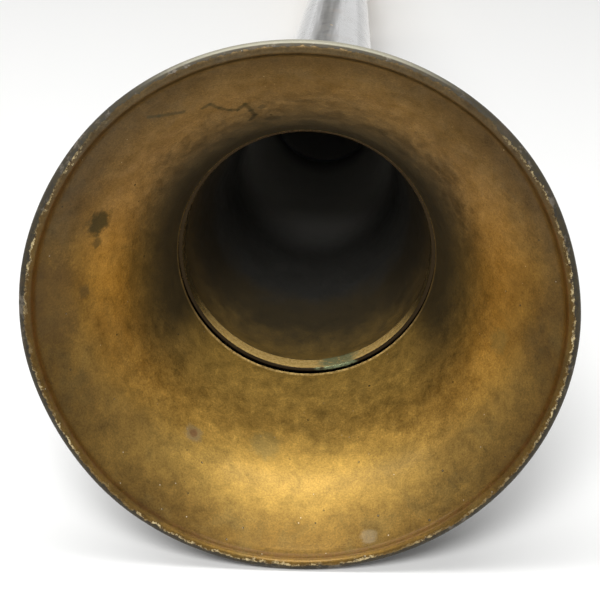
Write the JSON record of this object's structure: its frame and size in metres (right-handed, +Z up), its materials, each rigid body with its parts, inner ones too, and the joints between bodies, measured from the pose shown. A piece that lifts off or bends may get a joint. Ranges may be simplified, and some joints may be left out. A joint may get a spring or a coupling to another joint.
{
  "type": "ear trumpet",
  "caption": "Ear trumpet: a wide flared bell and a long tapered horn, with an ear tube of two sliding draws and a turned ear tip at the small end.",
  "frame": {"origin": "on the table that the trumpet lies on, under the middle of its length", "axes": "+Y from the bell's mouth towards the ear tip, +Z up; the horn's axis lies in the YZ plane and falls about 6 degrees towards the ear tip"},
  "size_m": [0.12, 0.5126, 0.1193],
  "materials": {
    "gold_lacquered_brass": "worn gold lacquer inside, chipped black japan outside",
    "black_japanned_brass": "glossy black japan over brass, chipped and scratched",
    "bright_brass": "turned brass, dulled and tarnished",
    "iron_wire": "plain drawn iron wire",
    "leather": "dark oiled leather",
    "bone": "turned and polished bone, yellowed"
  },
  "bodies": {
    "horn": {"bell_flare": "gold_lacquered_brass", "rim_wire": "iron_wire", "throat_ring": "bright_brass", "neck_band": "black_japanned_brass", "front_horn": "gold_lacquered_brass", "joint_ferrule": "black_japanned_brass", "rear_horn": "black_japanned_brass", "rear_bush": "bright_brass", "rear_collar": "black_japanned_brass"},
    "first_draw": {"first_stop_ring": "bright_brass", "first_tube": "bright_brass", "first_bush": "bright_brass", "first_collar": "bright_brass"},
    "second_draw": {"second_stop_ring": "bright_brass", "second_tube": "bright_brass", "tip_ferrule": "bright_brass", "tip_washer": "leather", "ear_tip": "bone"}
  },
  "joints": [
    {"name": "first_slide", "type": "slide", "parent": "horn", "child": "first_draw", "axis": [0, -0.9943, 0.1064], "range_m": [0, 0.055]},
    {"name": "second_slide", "type": "slide", "parent": "first_draw", "child": "second_draw", "axis": [0, -0.9943, 0.1064], "range_m": [0, 0.052]}
  ]
}
